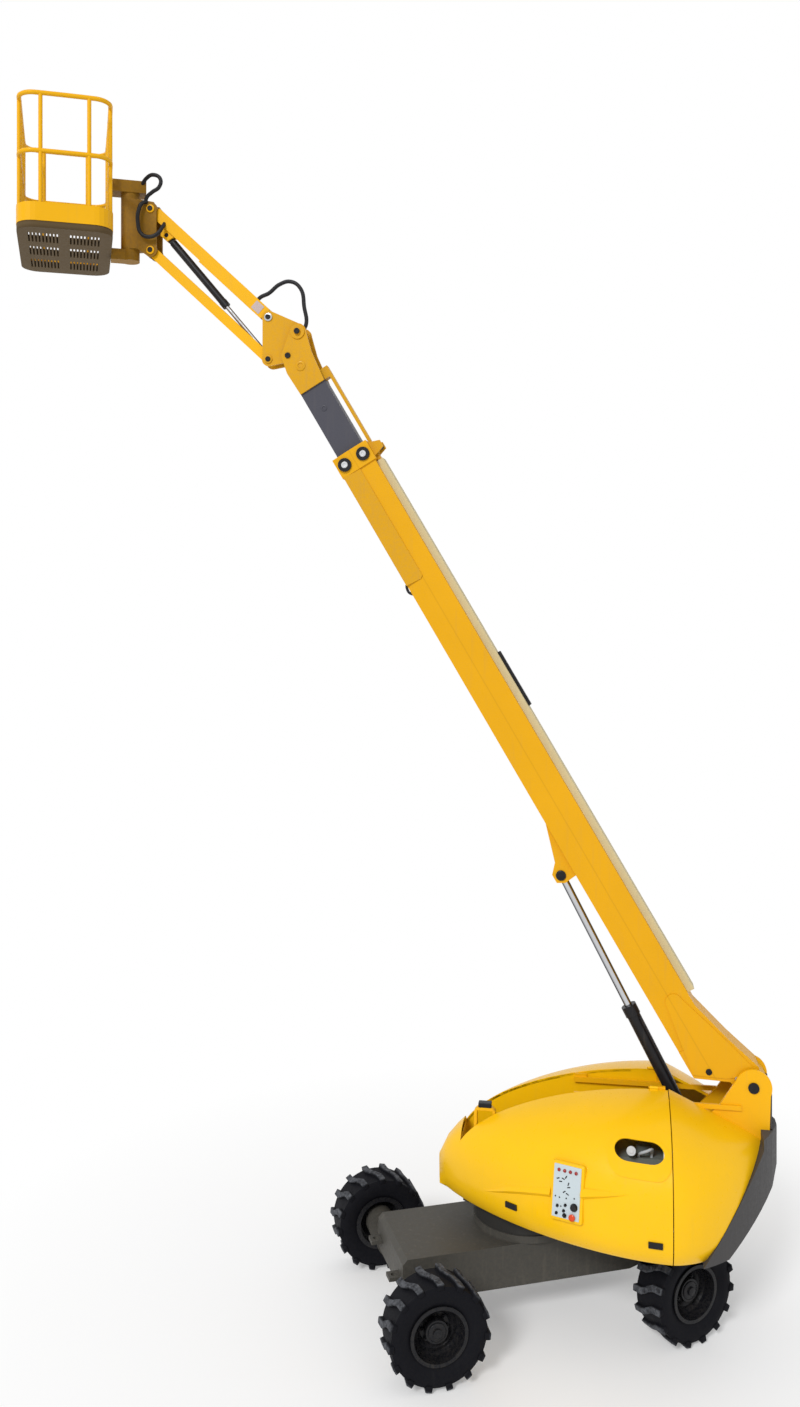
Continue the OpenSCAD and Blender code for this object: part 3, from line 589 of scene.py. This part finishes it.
panel_pale = painted("panel_pale", (0.50, 0.57, 0.60), 0.4, dust=0.05)
hang(settle(plate("panel_plate", panel_width, panel_height, panel_depth, 0.006),
            on_panel(0.5, 0.5) @ Matrix.Translation((0.0, 0.0, -panel_depth / 2))),
     "cover_left", panel_pale, replaced="control_panel")
hang(settle(plate("panel_surround", panel_width + 2 * surround_edge, panel_height + 2 * surround_edge, 0.06, 0.022),
            on_panel(0.5, 0.51) @ Matrix.Translation((0.0, 0.0, -0.038))),
     "cover_left", yellow_moulding)
lamp_red = painted("lamp_red", (0.30, 0.014, 0.012), 0.2, dust=0.0, clear=0.5)
stop_red = painted("stop_red", (0.62, 0.055, 0.008), 0.3, dust=0.0, clear=0.3)
lamps = copies(turned("lamp", 0.0135, [(0.006, 1.0), (0.003, 0.84), (0.004, 0.8), (0.002, 0.6)]), [
    on_panel(across, 0.105) for across in (0.19, 0.40, 0.61, 0.82)])
hang(join("panel_lamps", lamps), "cover_left", lamp_red)
toggles = copies(turned("toggle", 0.012, [(0.004, 1.0), (0.0, 0.5), (0.014, 0.85), (0.004, 1.3), (0.002, 0.7)]), [
    on_panel(*spot) for spot in ((0.20, 0.78), (0.49, 0.74), (0.18, 0.92), (0.44, 0.85))])
studs = copies(turned("stud", 0.0055, [(0.003, 1.0), (0.002, 0.7)], sides=16), [
    on_panel(*spot) for spot in ((0.11, 0.61), (0.26, 0.62), (0.51, 0.61), (0.80, 0.58), (0.33, 0.78))])
marks = copies(plate("mark", 0.026, 0.009, 0.002, 0.0006), [
    on_panel(across, down, math.radians(tilt)) for across, down, tilt in (
        (0.17, 0.27, 20), (0.36, 0.26, -18), (0.46, 0.22, 60), (0.27, 0.32, 5), (0.56, 0.34, 75), (0.58, 0.40, 15),
        (0.42, 0.50, 40), (0.54, 0.53, -25))])
knob = settle(turned("knob", 0.030, [(0.006, 1.0), (0.0, 0.86), (0.020, 0.94), (0.003, 0.9), (0.0, 0.7),
                                     (-0.002, 1.0)]), on_panel(0.81, 0.745))
selector = settle(turned("selector", 0.017, [(0.008, 1.0), (0.006, 0.8), (0.0, 0.6), (0.006, 1.0)]),
                  on_panel(0.48, 0.935))
hang(join("panel_switches", toggles + studs + marks + [knob, selector]), "cover_left", satin_black)
stop_button = turned("stop_button", 0.015, [(0.012, 1.0), (0.0, 1.75), (0.008, 1.0), (0.004, 0.85), (0.002, 0.6)])
hang(settle(stop_button, on_panel(0.77, 0.935)), "cover_left", stop_red)


# Boom: a yellow welded box whose lower edges are folded, with a thin line of painted shade along the fold and a hose
# tray along its back coloured grey-beige as painted shade.
# The inner section is dark grey enamel, the head is a duller yellow, and the rods are ground chrome whose colour
# darkens towards their edges as a painted reflection.
boom = turret @ Matrix.Translation((-1.910, 0.0, 2.030)) @ Matrix.Rotation(math.radians(-59.5), 4, "Y")
boom_len = 6.400
fold_z = -0.240
boom_paint = painted("boom_paint", (0.71, 0.35, 0.003), **plate_coat)
# A thin darker line along the fold is painted shade.
from_fold = maths(boom_paint.node_tree, "ADD", own_axes(boom_paint, boom)["Z"], -fold_z)
overlay(boom_paint, ramp(boom_paint.node_tree, maths(boom_paint.node_tree, "ABSOLUTE", from_fold),
                         0.002, 0.008, 0.30, 0.0), (0.42, 0.20, 0.003))
chrome = painted("rod_chrome_painted_reflection", (0.60, 0.61, 0.63), 0.14, dust=0.0, relief=0.00002, metal=1.0)
# The rods' colour turns dark where their surface turns away from the view: a painted reflection.
painted_reflection_facing = add(chrome.node_tree, "ShaderNodeLayerWeight", Blend=0.5).outputs["Facing"]
overlay(chrome, ramp(chrome.node_tree, painted_reflection_facing, 0.08, 0.45), (0.05, 0.05, 0.055))
head_paint = painted("head_paint", (0.64, 0.32, 0.004), 0.40, dust=0.15, dust_top=30.0, clear=0.04, shine=0.14)
inner_grey = painted("inner_grey", (0.060, 0.060, 0.076), 0.42, dust=0.08)
# The tray's grey-beige is a shaded copy of the boom's yellow: painted shade.
tray_shaded_beige = painted("tray_shaded_beige", (0.60, 0.50, 0.27), 0.5, dust=0.3, dust_top=30.0, dust_colour=(0.42, 0.36, 0.24))
finish(boom_paint, "boom_outer")
finish(head_paint, "boom_head", "hose_tube")
finish(inner_grey, "boom_inner")
finish(tray_shaded_beige, "hose_tray")
finish(satin_black, "wear_pads", "lift_barrel", "jib_barrel")
finish(chrome, "lift_rod", "jib_rod", "track_rod")


# Boom fittings: bright screws on the wear-pad discs of the collar, a plug on the inner section, a boss on the head,
# plates and a tray roller by the collar, a bent hose stub under the outer section, and black caps on the lug.
# A steel pipe runs along the lift cylinder.
def flank(place, x, z, reach, side):
    return place @ Matrix.Translation((x, side * reach, z)) @ Matrix.Rotation(math.radians(-90.0 * side), 4, "X")


def both_flanks(piece, place, spots, reach):
    return copies(piece, [flank(place, x, z, reach, side) for x, z in spots for side in (1, -1)])


bare_steel = painted("bare_steel", (0.55, 0.56, 0.57), 0.3, dust=0.1, relief=0.00004, metal=1.0)
hose_black = painted("hose_black", (0.014, 0.014, 0.016), 0.42, dust=0.08, relief=0.0003)
pad_spots = [(6.305, fold_z + rise) for rise in (-0.095, 0.095)]
pad_side = 0.166
inner_side = 0.099
head_side = 0.117
pad_screw = turned("pad_screw", 0.030, [(0.008, 1.0), (0.004, 0.86), (0.0, 0.5), (-0.004, 0.9)])
hang(join("pad_screws", both_flanks(pad_screw, boom, pad_spots, pad_side)), "boom", bare_steel)
inner_plug = turned("inner_plug", 0.028, [(0.004, 1.0), (0.002, 0.86), (0.0, 0.66), (-0.004, 0.96)])
hang(join("inner_plugs", both_flanks(inner_plug, boom, [(6.855, -0.246)], inner_side)),
     "boom_extension", inner_grey)
head_boss = turned("head_boss", 0.045, [(0.006, 1.0), (0.003, 0.9), (0.0, 0.62), (-0.006, 0.96)])
hang(join("head_bosses", both_flanks(head_boss, boom, [(7.291, -0.234)], head_side)),
     "boom_extension", head_paint)
hang(tube("boom_stub_hose", ((5.13, 0.1, -0.37), (5.115, 0.1, -0.40), (5.08, 0.1, -0.418), (5.04, 0.1, -0.418),
                             (5.0, 0.1, -0.385)), 0.012, boom), "boom", hose_black)
plate_low, plate_top = -0.404, -0.234
collar_plate = [(boom_len - 1.300, plate_low), (boom_len - 0.180, plate_low), (boom_len - 0.180, plate_top),
                (boom_len - 1.290, plate_top), (boom_len - 1.310, -0.260)]
roller_ear = [(boom_len - 0.150, -0.070), (boom_len - 0.010, -0.070), (boom_len - 0.050, 0.038),
              (boom_len - 0.115, 0.038)]
collar_plates = [
    settle(outline(name, shape, depth, 0.002), boom @ Matrix.Translation((0.0, side * reach, 0.0)) @ upright)
    for name, shape, depth, reach in (("collar_plate", collar_plate, 0.010, 0.1435),
                                      ("roller_ear", roller_ear, 0.012, 0.068)) for side in (1, -1)]
hang(join("collar_plates", collar_plates), "boom", head_paint)
tray_roller = settle(turned("tray_roller", 0.024, [(0.010, 1.0), (0.0, 1.17), (0.103, 1.0), (0.0, 0.85),
                                                   (0.010, 1.0)]), flank(boom, boom_len - 0.082, 0.004, -0.0615, 1))
tray_guide = settle(plate("tray_guide", 0.540, 0.052, 0.028, 0.005), boom @ Matrix.Translation((3.930, 0.0, -0.007)))
lug_pin = (2.260, -0.520)
lug_side = 0.065
lug_cap = turned("lug_cap", 0.044, [(0.012, 1.0), (0.004, 0.88), (0.0, 0.6), (-0.003, 0.95)])
hang(join("boom_black_fittings", both_flanks(lug_cap, boom, [lug_pin], lug_side) + [tray_roller, tray_guide]),
     "boom", satin_black)
lift = turret @ Matrix.Translation((-1.650, 0.0, 1.130)) @ Matrix.Rotation(math.radians(-62.67), 4, "Y")
hang(tube("lift_pipe", (
    (1.530, 0.030, 0.030), (1.535, 0.052, 0.050), (1.50, 0.060, 0.050), (1.40, 0.060, 0.050), (0.9, 0.058, 0.050),
    (0.3, 0.056, 0.050), (0.2, 0.030, 0.030)), 0.009, lift), "lift_cylinder", satin_black)


# Pin caps: black domed discs on the ends of the boom and jib pins, on both sides of the boom.
# Two bright studs sit beside the caps at the boom's root.
def caps(name, radius, spots, reach, rise=0.012):
    cap = turned(name, radius, [(rise, 1.0), (0.004, 0.84), (0.0, 0.55), (-0.003, 0.9)])
    return join(name, both_flanks(cap, turret, spots, reach))


pin_cap_r = 0.026
root_side = 0.138
hang(caps("boom_root_caps", pin_cap_r, [(-1.551, 2.126)], root_side, rise=0.020), "boom", satin_black)
hang(caps("boom_root_studs", 0.020, [(-1.779, 2.082)], root_side, rise=0.018), "boom", bare_steel)
hang(caps("head_pin_caps", pin_cap_r, [(2.020, 8.500)], 0.141), "jib_bracket", satin_black)
hang(caps("level_pin_caps", pin_cap_r, [(2.110, 8.290)], 0.116), "boom_extension", satin_black)


# Jib: two yellow links of steel tube between a root bracket and a tip bracket, with the jib cylinder between them.
# Collars hold the links' pins, a bright one on the upper root pin, and welded plates stiffen the upper link.
jib_pin = (2.300, 8.650)
root_low = (2.300, 8.270)
tip_pin = (3.41897, 9.69346)
tip_low = (3.41897, 9.31346)
link_pin_reach = 0.082
collar_r = 0.037
# The tip bracket and the basket mount take a dark ochre, a shaded copy of the yellow paint: painted shade.
mount_shaded_ochre = painted("mount_shaded_ochre", (0.27, 0.135, 0.009), 0.46, dust=0.4, dust_top=40.0, shine=0.12,
                      dust_colour=(0.11, 0.075, 0.035))
finish(head_paint, "jib_root")
finish(yellow_paint, "jib_upper", "jib_lower")
finish(mount_shaded_ochre, "jib_tip", "basket_mount")
for link, tip_end, root_end, ring_slot, ring_coat in (
        ("jib_top_link", tip_pin, jib_pin, "chrome_rod", bare_steel),
        ("jib_bottom_link", tip_low, root_low, "yellow_paint", head_paint)):
    hang(caps(link + "_collars", collar_r, [tip_end], link_pin_reach), link, yellow_paint)
    hang(caps(link + "_rings", collar_r, [root_end], link_pin_reach), link, ring_coat)
    hang(caps(link + "_caps", 0.024, [tip_end, root_end], link_pin_reach + 0.010), link, satin_black)
jib = turret @ Matrix.Translation((jib_pin[0], 0.0, jib_pin[1])) @ Matrix.Rotation(math.radians(-43.0), 4, "Y")
link_half = 0.050
link_plates = [settle(plate(name, length, 0.110, 0.016, 0.003), jib @ Matrix.Translation((middle, 0.0, rise)))
               for name, length, middle, rise in (("top_plate", 1.430, 0.765, link_half),
                                                  ("low_plate", 0.800, 0.460, -link_half))]
hang(join("link_plates", link_plates), "jib_top_link", yellow_paint)
sensor_x = 0.149
sensor_side = 0.0560
sensor_grey = painted("sensor_grey", (0.50, 0.40, 0.38), 0.5, dust=0.1)
sensor_dots = copies(turned("dot", 0.006, [(0.002, 1.0), (0.001, 0.7)], sides=12), [
    flank(jib, sensor_x + dx, dz, sensor_side + 0.0005, 1) for dx in (-0.024, 0.024) for dz in (-0.020, 0.020)])
sensor = settle(plate("sensor", 0.095, 0.004, 0.084, 0.0015), jib @ Matrix.Translation((sensor_x, sensor_side, 0.0)))
hang(join("link_sensor", [sensor] + sensor_dots), "jib_top_link", sensor_grey)


# Hoses: black rubber hydraulic lines in free loops between the jib links and their brackets.
hose_r = 0.018


def hose(name, points):
    line = tube(name, points, hose_r, turret)
    line.data.materials.append(hose_black)
    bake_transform(line)


hose("root_hose", ((2.430, 0.03, 8.790), (2.400, 0.03, 8.838), (2.310, 0.03, 8.880), (2.209, 0.03, 8.955),
                   (2.108, 0.03, 8.975), (2.017, 0.03, 8.911), (1.980, 0.03, 8.734), (1.962, 0.03, 8.590),
                   (1.995, 0.03, 8.520)))
hose("tip_hose", ((3.530, 0.020, 9.935), (3.470, 0.055, 9.985), (3.390, 0.088, 10.000), (3.320, 0.095, 9.955),
                  (3.330, 0.095, 9.885), (3.400, 0.092, 9.840), (3.455, 0.082, 9.800), (3.470, 0.074, 9.760)))
hose("link_hose", ((3.455, 0.078, 9.760), (3.485, 0.120, 9.735), (3.511, 0.135, 9.676), (3.521, 0.135, 9.558),
                   (3.485, 0.135, 9.450), (3.405, 0.132, 9.420), (3.335, 0.118, 9.452), (3.303, 0.088, 9.515),
                   (3.298, 0.046, 9.560)))


# Basket: a guard rail of bent and welded yellow tube round a deck coloured dark brown as painted shade, with a
# sheet-steel toe board.
# The deck is pressed plate with rows of slots that show from below.
basket_low = Vector((3.4767, -2.2437, 9.27846))
basket_high = Vector((4.2867, -0.8637, 10.43846))
basket_wide = basket_high.x - basket_low.x
basket_long = basket_high.y - basket_low.y
corner_r = 0.160
deck_depth = 0.060
deck_middle = (basket_low.y + basket_high.y) / 2


def basket_loop(inset, radius):
    points = []
    right, left = (basket_high.x, -1), (basket_low.x, 1)
    far, near = (basket_high.y, -1), (basket_low.y, 1)
    for (x, x_in), (y, y_in), start in ((right, far, 0), (left, far, 90), (left, near, 180), (right, near, 270)):
        for i in range(7):
            turn = math.radians(start + i * 15)
            points.append((x + x_in * (inset + radius) + radius * math.cos(turn),
                           y + y_in * (inset + radius) + radius * math.sin(turn)))
    return points


# The deck's dark brown is painted shade.
deck_shaded_brown = painted("deck_shaded_brown", (0.095, 0.064, 0.030), 0.6, dust=0.3, dust_top=30.0, shine=0.1,
                     dust_colour=(0.12, 0.085, 0.045))
deck = settle(outline("deck", basket_loop(0.0, corner_r), deck_depth),
              Matrix.Translation((0.0, 0.0, basket_low.z + deck_depth / 2)))
slot_inset = 0.117
half_gap = 0.355
row_gap = 0.400
slot_gap = 0.030
slots = join("slots", copies(plate("slot", 0.014, 0.260, 0.200, 0.001), [
    Matrix.Translation((basket_low.x + slot_inset + half * half_gap + i * slot_gap, deck_middle + row * row_gap,
                        basket_low.z)) for half in (0, 1) for row in (-1, 0, 1) for i in range(9)]))
fresh()
deck.select_set(True)
bpy.context.view_layer.objects.active = deck
cut = deck.modifiers.new("slots", "BOOLEAN")
cut.operation = "DIFFERENCE"
cut.object = slots
bpy.ops.object.modifier_apply(modifier="slots")
bpy.data.objects.remove(slots)
hang(deck, "basket", deck_shaded_brown, replaced="basket_floor")

toe_height = 0.160
toe_sheet = 0.006
toe = closed_line("toe", [(x, y, basket_low.z + deck_depth) for x, y in basket_loop(0.0, corner_r)])
open_mesh()
bpy.ops.mesh.extrude_edges_move(TRANSFORM_OT_translate={"value": (0.0, 0.0, toe_height)})
bpy.ops.object.mode_set(mode="OBJECT")
thicken(toe, toe_sheet)
hang(toe, "basket", yellow_paint, replaced="toe_board")

rail_r = 0.020
post_r = 0.018
mid_drop = 0.495
rail_path = basket_loop(rail_r, corner_r - rail_r)
rails = [tube("rail", [(x, y, z) for x, y in rail_path + rail_path[:1]], rail_r)
         for z in (basket_high.z, basket_high.z - mid_drop)]
posts = [(basket_low.x + share * basket_wide, y) for share in (0.25, 0.75)
         for y in (basket_low.y + rail_r, basket_high.y - rail_r)]
posts += [(x, basket_low.y + share * basket_long) for share in (0.14, 0.37, 0.63, 0.86)
          for x in (basket_low.x + rail_r, basket_high.x - rail_r)]
rails += [tube("post", [(x, y, basket_low.z + 0.050), (x, y, basket_high.z)], post_r) for x, y in posts]
hang(join("guard_rails", rails), "basket", yellow_paint, replaced="basket_rails")


# Studio: a pale floor that runs out into an even white surround.
# One broad key light stands to the left front, and the surround fills the shadows.
fresh()
bpy.ops.mesh.primitive_plane_add(size=400.0, location=(0.0, 0.0, 0.0))
studio_floor = bpy.context.object
studio_floor.name = "studio_floor"
floor_pale = bpy.data.materials.new("floor_pale")
floor_pale.use_nodes = True
floor_tree = floor_pale.node_tree
floor_skin = floor_tree.nodes["Principled BSDF"]
floor_skin.inputs["Base Color"].default_value = (0.9, 0.9, 0.9, 1)
floor_skin.inputs["Roughness"].default_value = 0.9
floor_place = add(floor_tree, "ShaderNodeTexCoord")
floor_reach = add(floor_tree, "ShaderNodeVectorMath", operation="LENGTH")
floor_glow = add(floor_tree, "ShaderNodeEmission", Color=(1, 1, 1, 1), Strength=1.0)
floor_mix = add(floor_tree, "ShaderNodeMixShader")
floor_tree.links.new(floor_place.outputs["Object"], floor_reach.inputs[0])
floor_tree.links.new(ramp(floor_tree, floor_reach.outputs["Value"], 1.6, 5.5, 0.25, 1.0), floor_mix.inputs[0])
floor_tree.links.new(floor_skin.outputs[0], floor_mix.inputs[1])
floor_tree.links.new(floor_glow.outputs[0], floor_mix.inputs[2])
floor_tree.links.new(floor_mix.outputs[0], floor_tree.nodes["Material Output"].inputs["Surface"])
studio_floor.data.materials.append(floor_pale)

surround = bpy.data.worlds.new("white_surround")
bpy.context.scene.world = surround
surround.use_nodes = True
sky = surround.node_tree
rays = add(sky, "ShaderNodeLightPath")
seen = maths(sky, "MAXIMUM", maths(sky, "MAXIMUM", rays.outputs["Is Camera Ray"], rays.outputs["Is Glossy Ray"]),
             rays.outputs["Is Transmission Ray"])
backdrop = sky.nodes["Background"]
backdrop.inputs["Color"].default_value = (1, 1, 1, 1)
sky.links.new(ramp(sky, seen, 0.0, 1.0, 0.62, 1.0), backdrop.inputs["Strength"])

bpy.ops.object.light_add(type="SUN", location=(8.0, 8.0, 14.0))
key_light = bpy.context.object
key_light.name = "key_light"
key_light.data.energy = 1.9
key_light.data.angle = math.radians(14)
key_light.rotation_euler = Vector((-0.55, -0.62, -0.62)).to_track_quat("-Z", "Y").to_euler()


# Camera: level, about six metres up, at the photograph's place to the left front of the machine.
# The frame is lowered to take in the wheels.
camera_data = bpy.data.cameras.new("camera")
camera = bpy.data.objects.new("camera", camera_data)
bpy.context.collection.objects.link(camera)
camera.location = (3.81, 9.84, 5.943)
camera.rotation_euler = (math.radians(90), 0.0, math.atan2(0.2625, -0.9649))
camera_data.sensor_fit = "VERTICAL"
camera_data.sensor_height = 36.0
camera_data.lens = 30.70
camera_data.shift_y = -0.0611
bpy.context.scene.camera = camera
bpy.context.scene.view_settings.view_transform = "Standard"
